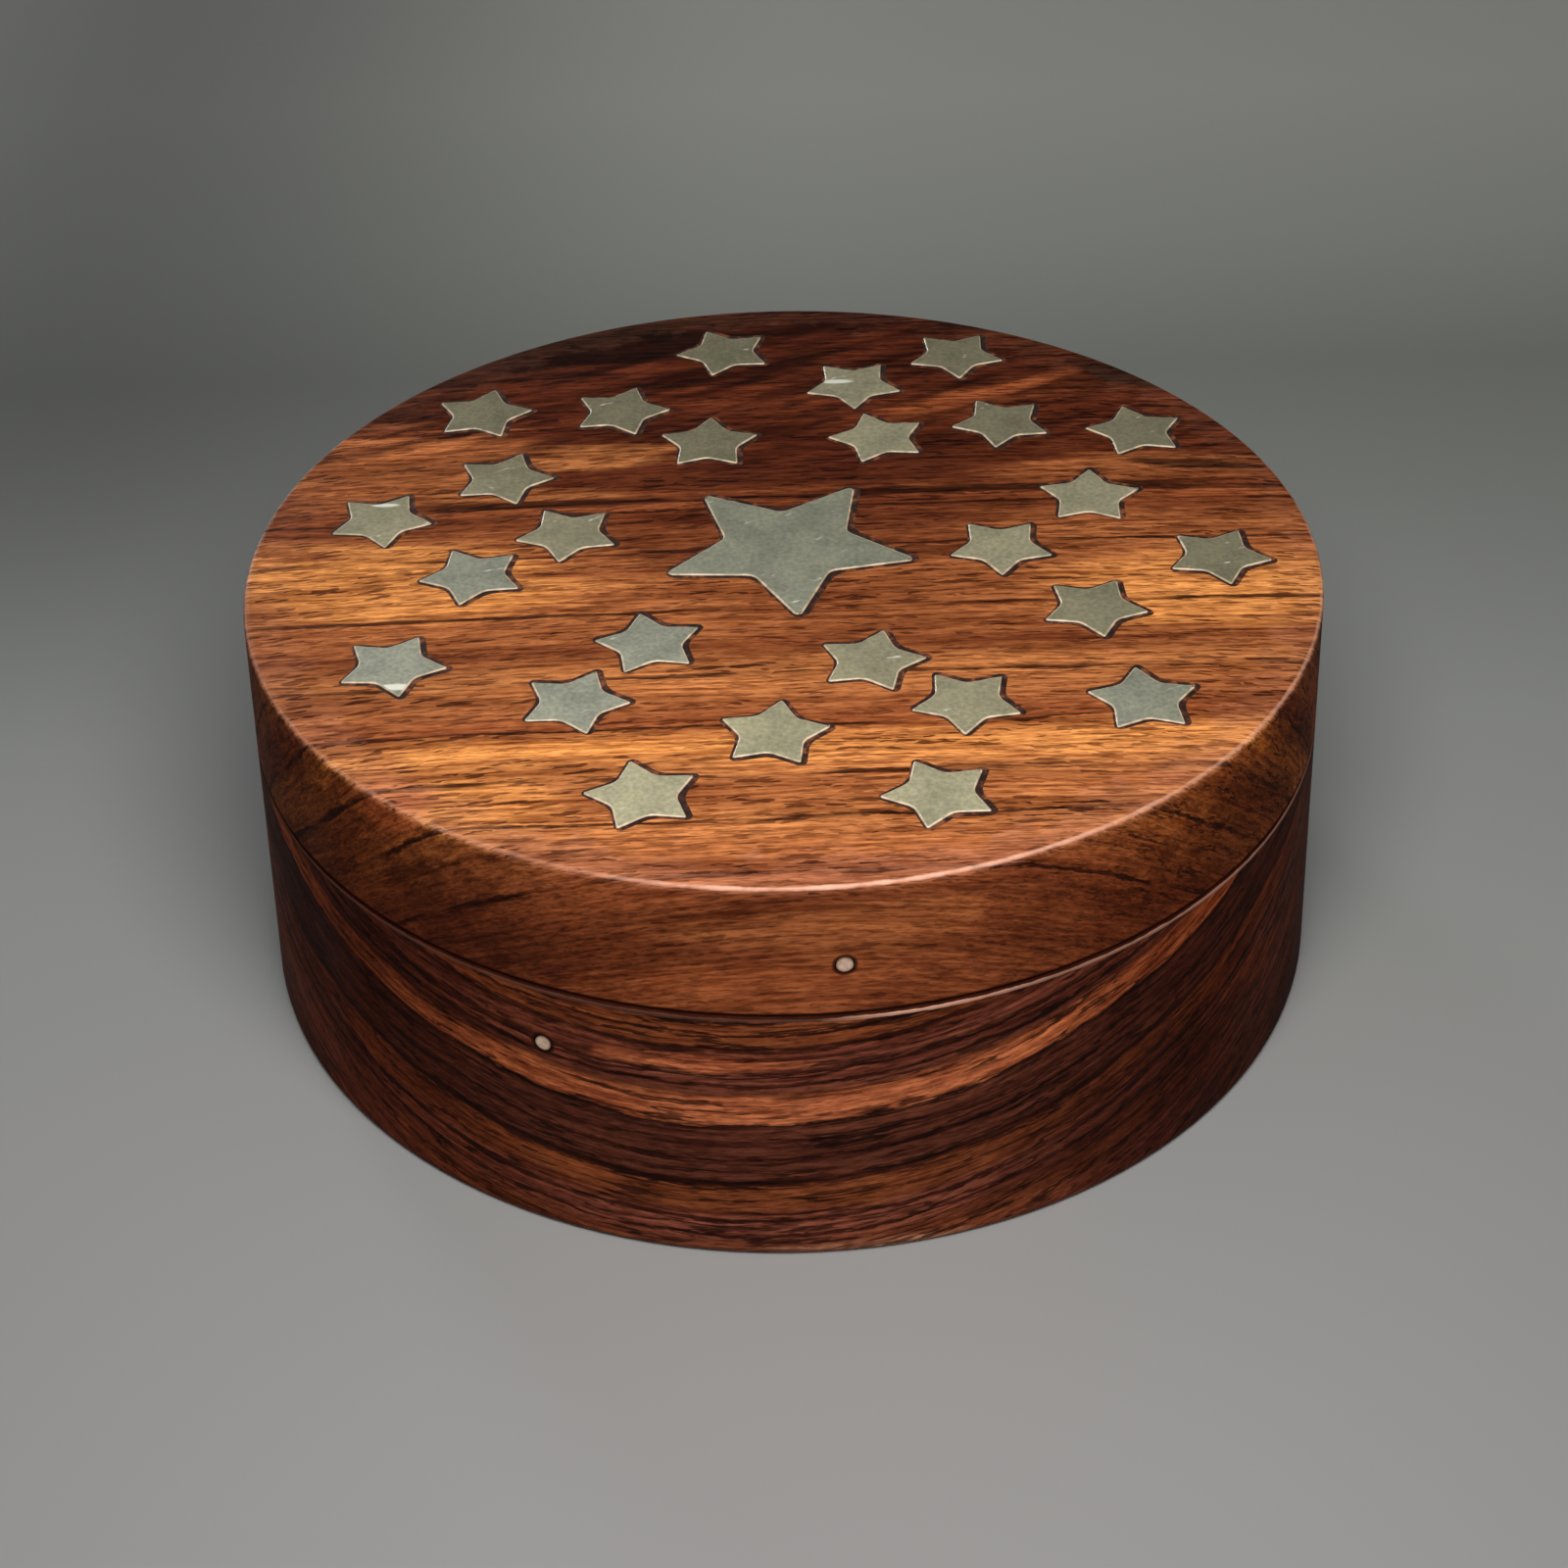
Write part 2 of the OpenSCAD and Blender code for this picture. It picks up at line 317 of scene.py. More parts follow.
def wood_patch():
    """A cloud-edged patch of the wood, drawn out along the fibre."""
    group, tree, given, result = new_group(
        "wood patch",
        [("Point", "vector"), ("Middle", "vector"), ("Reach", "vector"), ("Turn", "value")],
        [("Mask", "value")])
    off = tree.turned(tree.vector("SUBTRACT", given["Point"], given["Middle"]), given["Turn"])
    off = tree.vector("LENGTH", tree.vector("DIVIDE", off, given["Reach"]))
    ragged = tree.streaks(given["Point"], RAGGED_SIZE, detail=3, roughness=0.6)
    off = tree.sway(off, ragged, PATCH_RAGGED)
    tree.put(result.inputs["Mask"], tree.span(off, *PATCH_EDGE, smooth=True))
    return group


def edge_light_and_shade():
    """Where light or shade is painted along a turned edge, at a radius and a height."""
    group, tree, given, result = new_group(
        "edge light and shade",
        [("Point", "vector"), ("Radius", "value"), ("Height", "value"), ("Reach", "value"),
         ("Broken", "value")],
        [("Mask", "value")])
    x, y, z = tree.split(given["Point"])
    radius = tree.vector("LENGTH", tree.join(x, y, 0.0))
    off = tree.join(tree.math("SUBTRACT", radius, given["Radius"]),
                    tree.math("SUBTRACT", z, given["Height"]), 0.0)
    near = tree.math("DIVIDE", tree.vector("LENGTH", off), given["Reach"])
    broken = tree.noise(given["Point"], scale=0.35, detail=4, roughness=0.65)
    near = tree.sway(near, broken, given["Broken"])
    tree.put(result.inputs["Mask"], tree.span(near, *SOFT_EDGE, smooth=True))
    return group


def end_grain():
    """How far the turned side cuts across the fibre, from 0 at the front and back to 1 at the ends."""
    group, tree, given, result = new_group(
        "end grain", [("Point", "vector")], [("Mask", "value")])
    x, y, _ = tree.split(given["Point"])
    radius = tree.vector("LENGTH", tree.join(x, y, 0.0))
    across = tree.math("DIVIDE", tree.math("ABSOLUTE", x), radius)
    tree.put(result.inputs["Mask"], tree.span(across, *END_GRAIN_ACROSS, smooth=True))
    return group


LAYERS = growth_layers()
STREAKS = fibre_streaks()
GROWTH_LINES = growth_lines()
PORES = open_pores()
PATCH = wood_patch()
EDGE_LIGHT_AND_SHADE = edge_light_and_shade()
END_GRAIN = end_grain()


def point_mm(tree):
    """The point on the piece, in millimetres from the box's origin, which moves with the piece."""
    coordinates = tree.node("ShaderNodeTexCoord").outputs["Object"]
    return tree.vector("MULTIPLY", coordinates, (1 / MM, 1 / MM, 1 / MM))


def new_material(name):
    """A material with one surface shader, as (material, wiring tree, the shader's inputs)."""
    material = bpy.data.materials.new(name)
    material.use_nodes = True
    tree = Tree(material.node_tree)
    material.node_tree.nodes.clear()
    shader = tree.node("ShaderNodeBsdfPrincipled")
    output = tree.node("ShaderNodeOutputMaterial")
    material.node_tree.links.new(shader.outputs[0], output.inputs["Surface"])
    return material, tree, shader.inputs


# The wood's tones, from the palest sapwood-gold to the near-black lines
STRAW = (228, 150, 82)
GOLD = (188, 118, 68)
AMBER = (196, 112, 72)
HONEY = (170, 101, 58)
TAN = (148, 80, 45)
BROWN = (126, 66, 36)
CHESTNUT = (102, 48, 26)
UMBER = (76, 32, 17)
LINE = (50, 18, 9)
HEART = (30, 10, 5)
# Painted highlights on the edges, and the painted rosy reflection along the rim of the lid and
# highlight on the foot
WOOD_EDGE_HIGHLIGHT = (238, 182, 156)
ROSY_SHEEN = (176, 117, 90)
# The violet-brown layers of the base
COCOA = (127, 68, 51)
PLUM = (92, 47, 33)
# What the wood's colour is multiplied by on the end grain and in its pores
END_GRAIN_TINT, PORE_TINT = (0.53, 0.37, 0.22), (0.2, 0.14, 0.11)


def colour_along(tree, value, stops):
    """Colours along a value, from stops of (value, tone)."""
    low, high = stops[0][0], stops[-1][0]
    places = [((at - low) / (high - low), srgb(*tone)) for at, tone in stops]
    return tree.ramp(tree.span(value, low, high), places)


# Drawn lines: the ramp's margin beyond them in millimetres, and the part of the ramp that shows
LINE_MARGIN, LINE_DEPTHS = 2, (0.2, 0.6)
# The noise that breaks the lines: its size, how fast they come back, and their shares where they
# are broken and whole
BREAK_SIZE, BREAK_FADE, LINE_SHARES = (16, 2.2, 6), 0.14, (0.1, 0.9)


def add_lines(tree, colour, layer, fibre, lines, broken):
    """Draws dark lines along the layers, from (layer in mm, thickness), broken below a noise."""
    low, high = lines[0][0] - LINE_MARGIN, lines[-1][0] + LINE_MARGIN
    stops = []
    for at, thickness in lines:
        for off, depth in ((-1, 0.0), (0, 1.0), (1, 0.0)):
            stops.append(((at + off * thickness - low) / (high - low), (depth,) * 3))
    drawn = tree.span(tree.ramp(tree.span(layer, low, high), stops), *LINE_DEPTHS)
    breaks = tree.streaks(fibre, BREAK_SIZE, detail=3)
    whole = tree.span(breaks, broken, broken + BREAK_FADE, *LINE_SHARES)
    return tree.mix(tree.math("MULTIPLY", drawn, whole), colour, srgb(*LINE))


def add_growth_lines(tree, colour, fibre, spacing, thickness, share):
    """Draws the near-black lines between the growth layers, with a share from 0 to 1."""
    lines = tree.use(GROWTH_LINES, Fibre=fibre, Spacing=spacing, Thickness=thickness)["Mask"]
    return tree.mix(tree.math("MULTIPLY", lines, share), colour, srgb(*HEART))


def add_patches(tree, colour, point, patches):
    """Lays patches of (middle, reach, turn, tone, share) over the colour."""
    for middle, reach, turn, tone, share in patches:
        mask = tree.use(PATCH, Point=point, Middle=middle, Reach=reach, Turn=turn)["Mask"]
        colour = tree.mix(tree.math("MULTIPLY", mask, share), colour, srgb(*tone))
    return colour


def shade(tree, colour, value, dark, light, low=0.34, high=0.66):
    """Darkens and lightens the colour by a value that is even about 0.5."""
    tint = tree.ramp(value, [(low, dark), (0.5, (1, 1, 1)), (high, light)])
    return tree.mix(1.0, colour, tint, blend="MULTIPLY")


def darken_ends(tree, colour, share):
    """End grain drinks the oil and darkens, by a share from 0 to 1."""
    oiled = tree.mix(1.0, colour, END_GRAIN_TINT, blend="MULTIPLY")
    return tree.mix(share, colour, oiled)


def share_by_place(tree, *spans):
    """A share made of spans, each as (value, from, to, share before, share after)."""
    share = 1.0
    for span in spans:
        share = tree.math("MULTIPLY", share, tree.span(*span))
    return share


# How dark and how light the streaks of each kind are, and the part of the noise they run over
BROAD_TINTS = (0.72, 0.66, 0.62), (1.15, 1.15, 1.1)
NARROW_TINTS = (0.58, 0.49, 0.44), (1.18, 1.2, 1.2), 0.36, 0.62
HAIR_TINTS = (0.7, 0.63, 0.59), (1.18, 1.2, 1.2), 0.36, 0.62
# Pores, in millimetres, with the share of places that hold one and the lean off the fibre
LONG_PORES = dict(Length=5.0, Spacing=1.5, Thickness=0.36, Share=0.7, Slant=-0.1)
SHORT_PORES = dict(Length=3.2, Spacing=0.7, Thickness=0.2, Share=0.95, Slant=-0.14)
# The short pores are cut from another place in the tree, so that they don't repeat the long ones
SHORT_PORES_FROM = (31.7, 12.3, 5.1)
# Pores gather in dark streaks: from and to which streak, with which shares
PORE_CLUSTERS = 0.36, 0.6, 1.0, 0.55
PORE_SHARE, PORE_SHARE_ON_ENDS = 0.95, 0.5
# Polish: the smears' scale and roughness, and what the ends and the pores add to it
SMEAR_SCALE, SMEAR_ROUGHNESS = 0.12, (0.34, 0.48)
ENDS_ROUGHER, PORES_ROUGHER, WOOD_SPECULAR = 0.3, 0.25, 0.06
# The part of a noise that is used to run a roughness from low to high
NOISE_SPREAD = (0.3, 0.7)
# Relief: how much the hair-thin streaks stand out beside the pores, its strength and its depth
HAIR_RELIEF, WOOD_BUMP, WOOD_DEPTH = 0.3, 0.3, 0.05

# An edge painted with light or shade: where it runs, how far the paint reaches and how broken it is,
# its tone and share,
# and what it adds to the roughness
Edge = namedtuple("Edge", "radius height reach broken tone share rougher")


def add_streaks(tree, colour, streaks, ring_tints):
    """Darkens and lightens the wood along its fibre, from the growth rings to the finest hairs."""
    for kind, tints in (("Rings", ring_tints), ("Broad", BROAD_TINTS),
                        ("Narrow", NARROW_TINTS), ("Hair", HAIR_TINTS)):
        colour = shade(tree, colour, streaks[kind], *tints)
    return colour


def wood_pores(tree, fibre, streaks, share, ends):
    """Long and short pores, which gather in the dark streaks and thin out on the end grain."""
    long_pores = tree.use(PORES, Fibre=fibre, **LONG_PORES)["Pore"]
    short_pores = tree.use(PORES, Fibre=tree.vector("ADD", fibre, SHORT_PORES_FROM),
                           **SHORT_PORES)["Pore"]
    clusters = tree.math("MULTIPLY", tree.span(streaks["Broad"], *PORE_CLUSTERS), share)
    pores = tree.math("MULTIPLY", tree.math("MAXIMUM", long_pores, short_pores), clusters)
    return tree.math("MULTIPLY", pores, tree.span(ends, 0.0, 1.0, 1.0, PORE_SHARE_ON_ENDS))


def finish_wood(tree, surface, colour, point, fibre, ring_tints, pore_share, ends, edges):
    """Streaks, pores, edges painted with light or shade, and polish over a wood's layer colours."""
    streaks = tree.use(STREAKS, Fibre=fibre)
    colour = add_streaks(tree, colour, streaks, ring_tints)
    pores = wood_pores(tree, fibre, streaks, pore_share, ends)
    dark = tree.mix(1.0, colour, PORE_TINT, blend="MULTIPLY")
    colour = tree.mix(tree.math("MULTIPLY", pores, PORE_SHARE), colour, dark)
    smear = tree.noise(point, scale=SMEAR_SCALE, detail=3)
    rough = tree.span(smear, *NOISE_SPREAD, *SMEAR_ROUGHNESS)
    rough = tree.math("MULTIPLY_ADD", ends, ENDS_ROUGHER, rough)
    # Each edge lays its tone as a painted highlight or painted shade
    for edge in edges:
        painted_edge = tree.use(EDGE_LIGHT_AND_SHADE, Point=point, Radius=edge.radius, Height=edge.height,
                        Reach=edge.reach, Broken=edge.broken)["Mask"]
        painted_edge = tree.math("MULTIPLY", painted_edge, edge.share)
        colour = tree.mix(painted_edge, colour, srgb(*edge.tone))
        rough = tree.math("MULTIPLY_ADD", painted_edge, edge.rougher, rough)
    tree.put(surface["Base Color"], colour)
    tree.put(surface["Roughness"], tree.math("MULTIPLY_ADD", pores, PORES_ROUGHER, rough))
    relief = tree.math("MULTIPLY_ADD", streaks["Hair"], HAIR_RELIEF,
                       tree.math("SUBTRACT", 1.0, pores))
    tree.put(surface["Normal"], tree.bump(relief, WOOD_BUMP, WOOD_DEPTH * MM))
    surface["Specular IOR Level"].default_value = WOOD_SPECULAR


PEGS = ("lid_mark_peg", "base_mark_peg")
# Half a peg's length, and how far from the middle of its end the glue round it ends and starts
PEG_HALF, GLUE_REACH, GLUE_SHARE = 1.5, (1.2, 1.0), 0.85


def from_peg_end(tree, point, peg):
    """How far the point is from the outer end of a peg, which points away from the box's axis."""
    low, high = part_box(peg)
    middle = (low + high) / 2 / MM
    outer_end = middle + PEG_HALF * Vector((middle.x, middle.y, 0)).normalized()
    return tree.away(point, tuple(outer_end))


def add_glue_ring(tree, colour, point, peg):
    """Dark glue that shows in the wood round the outer end of a peg."""
    ring = tree.span(from_peg_end(tree, point, peg), *GLUE_REACH, 0.0, GLUE_SHARE)
    return tree.mix(ring, colour, srgb(*HEART))


# How the growth layers lie in the lid and in the base: what they rise per millimetre backwards
# and to the right, how they arch, and how far they wander and jag, in millimetres
LID_GROWTH = dict(Rise_back=1.1, Rise_right=-0.025, Arch=0.0004, Wander=2.6, Jag=1.3)
BASE_GROWTH = dict(Rise_back=-0.42, Rise_right=-0.07, Arch=0.0, Wander=1.8, Jag=1.5)

# Lid: tones along the layers, each placed where its layer comes out on the lid's top,
# in millimetres from front to back. The side of the lid cuts the layers that lie in front.
LID_LAYERS = [
    (-70, CHESTNUT), (-62, TAN), (-57, BROWN), (-52, BROWN), (-49, TAN), (-45, HONEY),
    (-41, GOLD), (-37, HONEY), (-34, GOLD), (-30.5, STRAW), (-27, TAN), (-24, HONEY),
    (-19, GOLD), (-14.8, BROWN), (-12.5, HONEY), (-9, HONEY), (-6.5, HONEY), (-3, HONEY),
    (1.5, HONEY), (5, HONEY), (8.5, BROWN), (11, TAN), (13, BROWN), (17, CHESTNUT), (48, UMBER)]
# Dark lines of the lid, placed in the same way, with their thickness
LID_LINES = [(-48.6, 0.35), (-41.2, 0.4), (-35, 0.6), (-27.5, 0.35), (-19.6, 0.5), (-8.4, 0.5),
             (2, 0.4), (9.6, 0.35), (11.6, 0.75)]
LID_LINES_BROKEN = 0.38
# Patches of the lid's top and side: middle, reach, degrees of turn, tone and share
LID_PATCHES = [
    ((2, 4, 41), (24, 8, 8), 0, CHESTNUT, 0.75),
    ((5, -8, 41), (16, 6, 6), 0, BROWN, 0.35),
    ((-30, -38, 41), (12, 5, 2), 0, STRAW, 0.8),
    ((-38, 18, 41), (16, 9, 2), 0, HONEY, 0.9),
    ((-38, -3, 41), (19, 7, 2), 0, STRAW, 0.9),
    ((41, -7, 41), (17, 7, 2), 0, STRAW, 0.85),
    ((-18, 20, 41), (9, 2.6, 4), 4, GOLD, 0.8),
    ((-26, 13, 41), (12, 2, 4), 0, GOLD, 0.6),
    ((4, 18, 41), (17, 5, 5), 0, UMBER, 0.65),
    ((18, 9, 41), (10, 4, 4), 0, CHESTNUT, 0.3),
    ((-24, 43, 41), (26, 6, 6), 8, HEART, 0.95),
    ((36, 16, 41), (14, 3, 4), 0, HONEY, 0.7),
    ((22, 31, 41), (15, 2.6, 4), 22, TAN, 0.8),
    ((36, 35, 41), (7, 2.2, 4), -28, HEART, 0.9),
    ((-42, -30, 31), (24, 26, 9), 0, UMBER, 0.6),
    ((-27, -43, 31), (12, 8, 8), 0, UMBER, 0.45),
    ((4, -51, 36.5), (15, 4, 3), 0, HONEY, 0.5),
    ((-34.5, -37.5, 40), (5, 5, 2.2), 0, AMBER, 0.8),
    ((42, -29, 32.5), (18, 18, 6.5), 0, UMBER, 0.5),
    ((28, 12.4, 41), (20, 0.9, 3), 0, HEART, 0.8),
    ((20, 9.4, 41), (10, 0.7, 3), 0, HEART, 0.45),
    ((42, 16, 41), (7, 0.9, 3), -8, HEART, 0.8),
    ((-22, 11, 41), (15, 0.9, 3), 0, HEART, 0.7),
]
# Wavy figure: where it starts and is whole behind the lid's middle, its turn and its waves' size
CURL_BACK, CURL_TURN, CURL_SIZE = (12, 26), 24, (17, 2.4, 6)
CURL_TINTS = (0.4, 0.33, 0.3), (1.5, 1.5, 1.5), 0.36, 0.64
# How far below the top the lid's side starts and is whole
SIDE_BELOW = (0.4, 0.9)
# The lid's pores: their shares on the side and on the top, and how far below the top they change
LID_PORE_SHARES, LID_PORES_BELOW = (0.6, 1.0), (1.5, 0.4)
# The painted rosy reflection inside the rim of the top: its reach, how broken it is, and its shares by
# place to the front
ROSY_REACH, ROSY_BROKEN, ROSY_FRONT = 5, 2.5, (10, -45, 0.1, 0.35)
# Growth lines on the lid's ends: spacing, thickness, and their shares by place to the right
LID_GROWTH_LINES, LID_LINES_RIGHT = (3.2, 0.35), (-10, 20, 0.4, 0.8)
LID_RING_TINTS = (0.64, 0.54, 0.48), (1.18, 1.2, 1.2)


def add_curl(tree, colour, point):
    """Wavy figure that crosses the grain at the back of the lid."""
    waves = tree.streaks(tree.turned(point, CURL_TURN), CURL_SIZE, detail=2)
    back = tree.span(tree.split(point)[1], *CURL_BACK, smooth=True)
    return tree.mix(back, colour, shade(tree, colour, waves, *CURL_TINTS))


def add_rosy_reflection(tree, colour, point, y, side):
    """A painted rosy reflection inside the rim of the lid's top, most of all in front."""
    rim = tree.use(EDGE_LIGHT_AND_SHADE, Point=point, Radius=TOP_RADIUS, Height=LID_TOP, Reach=ROSY_REACH,
                   Broken=ROSY_BROKEN)["Mask"]
    share = tree.math("MULTIPLY", tree.span(y, *ROSY_FRONT), tree.math("SUBTRACT", 1, side))
    return tree.mix(tree.math("MULTIPLY", rim, share), colour, srgb(*ROSY_SHEEN))


def lid_edges(tree, x):
    """A painted highlight on the rim of the top, palest in the middle, and painted shade on the edge
    at the seam.
    """
    highlight_share = share_by_place(tree, (x, -18, -4, 0.2, 0.9), (x, 14, 34, 1.0, 0.45))
    return [Edge(TOP_RADIUS, LID_TOP, reach=0.4, broken=0.8, tone=WOOD_EDGE_HIGHLIGHT, share=highlight_share, rougher=0.0),
            Edge(TOP_RADIUS + 0.3, SEAM, reach=0.5, broken=0.5, tone=LINE, share=0.9, rougher=0.5)]


def lid_wood():
    material, tree, surface = new_material("lid wood")
    point = point_mm(tree)
    x, y, z = tree.split(point)
    level = tree.vector("SUBTRACT", point, (0, 0, LID_TOP))
    grown = tree.use(LAYERS, Point=level, **LID_GROWTH)
    outcrop = tree.math("DIVIDE", grown["Layer"], LID_GROWTH["Rise_back"])
    colour = colour_along(tree, outcrop, LID_LAYERS)
    colour = add_patches(tree, colour, point, LID_PATCHES)
    colour = add_curl(tree, colour, point)
    colour = add_lines(tree, colour, outcrop, grown["Fibre"], LID_LINES, LID_LINES_BROKEN)
    side = tree.span(z, *(LID_TOP - below for below in SIDE_BELOW))
    colour = add_rosy_reflection(tree, colour, point, y, side)
    ends = tree.math("MULTIPLY", side, tree.use(END_GRAIN, Point=point)["Mask"])
    drawn = tree.math("MULTIPLY", ends, tree.span(x, *LID_LINES_RIGHT))
    colour = add_growth_lines(tree, colour, grown["Fibre"], *LID_GROWTH_LINES, drawn)
    colour = darken_ends(tree, colour, ends)
    colour = add_glue_ring(tree, colour, point, "lid_mark_peg")
    pore_share = tree.span(z, *(LID_TOP - below for below in LID_PORES_BELOW), *LID_PORE_SHARES)
    finish_wood(tree, surface, colour, point, grown["Fibre"], LID_RING_TINTS, pore_share, ends,
                lid_edges(tree, x))
    return material


# Base: tones along the layers, each placed by its height at the middle of the front, which is
# this far before the box's axis
BASE_FRONT = 52
BASE_LAYERS = [
    (-46, BROWN), (-42, PLUM), (-38, BROWN), (-35, PLUM), (-30, COCOA), (-26, LINE),
    (-12, PLUM), (-4, COCOA), (0, BROWN), (2.4, COCOA), (4.4, COCOA), (5.6, BROWN), (8.2, BROWN),
    (8.8, PLUM), (14.6, PLUM), (15.2, HEART), (15.5, AMBER), (17.6, AMBER), (18.1, TAN),
    (18.5, PLUM), (20.4, COCOA), (21, PLUM), (21.4, COCOA), (22.6, COCOA), (23.9, BROWN),
    (26.5, BROWN), (28, PLUM), (31, COCOA), (34, BROWN), (38, PLUM), (42, COCOA)]
# Dark lines of the base, placed in the same way, with their thickness
BASE_LINES = [(2.3, 0.3), (4.2, 0.45), (8.6, 0.7), (11.4, 0.3), (19.4, 0.35), (20.7, 0.4),
              (23.4, 0.55), (25.2, 0.25), (26.5, 0.25)]
BASE_LINES_BROKEN = 0.28
# Patches of the base's side: middle, reach, degrees of turn, tone and share
BASE_PATCHES = [((-9, -51, 21.9), (12, 6, 1), 0, AMBER, 0.9),
                # The rosy patch at the front of the foot is a painted highlight
                ((5, -52, 0.2), (10, 6, 1.8), 0, ROSY_SHEEN, 0.85),
                ((-36, -38, 21), (12, 12, 7), 0, UMBER, 0.45),
                ((34, -40, 7), (24, 18, 8), 0, LINE, 0.5),
                ((-43, -29, 20), (10, 10, 12), 0, UMBER, 0.4)]
# Growth lines all over the base: spacing, thickness and share
BASE_GROWTH_LINES = 1.6, 0.22, 0.8
BASE_RING_TINTS = (0.5, 0.4, 0.36), (1.25, 1.28, 1.26)
BASE_PORE_SHARE = 0.5


def base_edges(tree, x, y):
    """Painted shade on the edge at the seam, a painted highlight on its corner right of the front, and
    a painted rosy highlight on the foot.
    """
    highlight_share = share_by_place(tree, (x, 2, 9, 0.05, 0.6), (x, 12, 22, 1.0, 0.45),
                            (y, 0, -30, 0.2, 1.0))
    return [Edge(TOP_RADIUS + 0.1, SEAM, reach=0.9, broken=0.4, tone=LINE, share=0.9, rougher=0.5),
            Edge(TOP_RADIUS + 0.35, SEAM - 0.5, reach=0.2, broken=1.6, tone=WOOD_EDGE_HIGHLIGHT, share=highlight_share,
                 rougher=0.2),
            Edge(FOOT_RADIUS, 0, reach=0.5, broken=1.6, tone=ROSY_SHEEN, share=0.45, rougher=0.0)]


def base_wood():
    material, tree, surface = new_material("base wood")
    point = point_mm(tree)
    x, y, _ = tree.split(point)
    level = tree.vector("ADD", point, (0, BASE_FRONT, 0))
    grown = tree.use(LAYERS, Point=level, **BASE_GROWTH)
    colour = colour_along(tree, grown["Layer"], BASE_LAYERS)
    colour = add_lines(tree, colour, grown["Layer"], grown["Fibre"], BASE_LINES, BASE_LINES_BROKEN)
    colour = add_patches(tree, colour, point, BASE_PATCHES)
    colour = add_growth_lines(tree, colour, grown["Fibre"], *BASE_GROWTH_LINES)
    ends = tree.use(END_GRAIN, Point=point)["Mask"]
    colour = darken_ends(tree, colour, ends)
    colour = add_glue_ring(tree, colour, point, "base_mark_peg")
    finish_wood(tree, surface, colour, point, grown["Fibre"], BASE_RING_TINTS, BASE_PORE_SHARE,
                ends, base_edges(tree, x, y))
    return material


# ---------------------------------------------------------------- shell, filler and pegs

# The tone of the painted glints and flashes on the shell
GLINT = (240, 240, 226)
# Each shell's tone in front on the left and behind on the right, between which light falloff is
# painted, and the tone of its painted glints
SHELLS = {"large star shell": ((150, 150, 134), (128, 129, 112), (214, 214, 200)),
          "star shell": ((166, 160, 132), (122, 117, 94), GLINT),
          "pale star shell": ((182, 176, 146), (150, 144, 118), GLINT),
          "cool star shell": ((152, 153, 138), (122, 123, 108), GLINT)}
# The shell of each star that isn't plain star shell
STAR_SHELLS = {"star_center": "large star shell",
               "star_middle_01": "pale star shell", "star_middle_03": "pale star shell",
               "star_inner_01": "pale star shell", "star_inner_02": "pale star shell",
               "star_outer_05": "cool star shell", "star_outer_08": "cool star shell",
               "star_middle_07": "cool star shell", "star_middle_08": "cool star shell",
               "star_inner_04": "cool star shell"}
# Painted white flashes of reflected light on the stars' shells: middle and reach
SHELL_FLASHES = [((-35, -20.4, 41), (2.4, 0.6, 1)), ((-38.8, 11.4, 41), (1.6, 0.4, 1)),
                 ((6, 34.4, 41), (2, 0.5, 1))]
# Where a flash starts and is whole, in its own reaches, and its share
FLASH_EDGE, FLASH_SHARE = (1.0, 0.6), 0.9
# Where the shell turns from cream to grey, as painted light falloff, in millimetres from front to
# back. The way to the right counts as well, by a share, and a drift moves it to and fro.
SHELL_PAINTED_FALLOFF, SHELL_ASIDE, SHELL_DRIFT = (-45, 15), 0.75, 40.0
# How dark and how light the clouds and the speckle of the shell are
CLOUD_TINTS = (0.84, 0.86, 0.84), (1.1, 1.1, 1.06)
SPECKLE_TINTS = (0.8, 0.82, 0.82), (1.2, 1.2, 1.18)
# Painted glints: their turn in degrees, their size, and from and to which noise, with which shares
GLINT_TURN, GLINT_SIZE, GLINT_SHARES = 25, (2.6, 0.8, 2), (0.7, 0.78, 0.0, 0.8)
SHELL_SPECULAR, SHELL_COAT, SHELL_COAT_ROUGHNESS = 0.4, 0.15, 0.2
# Tones along a noise that is even about 0.5; those of the shell's edges are a painted highlight
SHELL_EDGE_HIGHLIGHT_TONES = [(0.38, (170, 154, 128)), (0.6, (222, 202, 174))]
FILLER_TONES = [(0.4, (34, 15, 8)), (0.52, (62, 30, 16)), (0.62, (124, 70, 40))]
BONE_TONES = [(0.35, (184, 150, 128)), (0.65, (212, 182, 160))]
# The stain on the rim of a peg's end: where it starts and is whole, and its share
STAIN_REACH, STAIN_SHARE = (0.58, 0.74), 0.8


def polish(tree, surface, grain, low, high):
    """Roughness from low to high by a noise that is even about 0.5."""
    tree.put(surface["Roughness"], tree.span(grain, *NOISE_SPREAD, low, high))


def shell_colour(tree, point, cream, grey):
    """Creamy in front on the left and grey behind on the right, as a painted light falloff."""
    x, y, _ = tree.split(point)
    place = tree.math("MULTIPLY_ADD", x, SHELL_ASIDE, y)
    place = tree.sway(place, tree.noise(point, scale=0.07, detail=1), SHELL_DRIFT)
    return tree.mix(tree.span(place, *SHELL_PAINTED_FALLOFF), srgb(*cream), srgb(*grey))


def add_glints(tree, colour, point, bright):
    """Small painted glints all over the shell, and a few painted white flashes."""
    glints = tree.streaks(tree.turned(point, GLINT_TURN), GLINT_SIZE, detail=2)
    colour = tree.mix(tree.span(glints, *GLINT_SHARES), colour, srgb(*bright))
    for middle, reach in SHELL_FLASHES:
        flash = tree.span(tree.away(point, middle, reach), *FLASH_EDGE, 0.0, FLASH_SHARE)
        colour = tree.mix(flash, colour, srgb(*bright))
    return colour


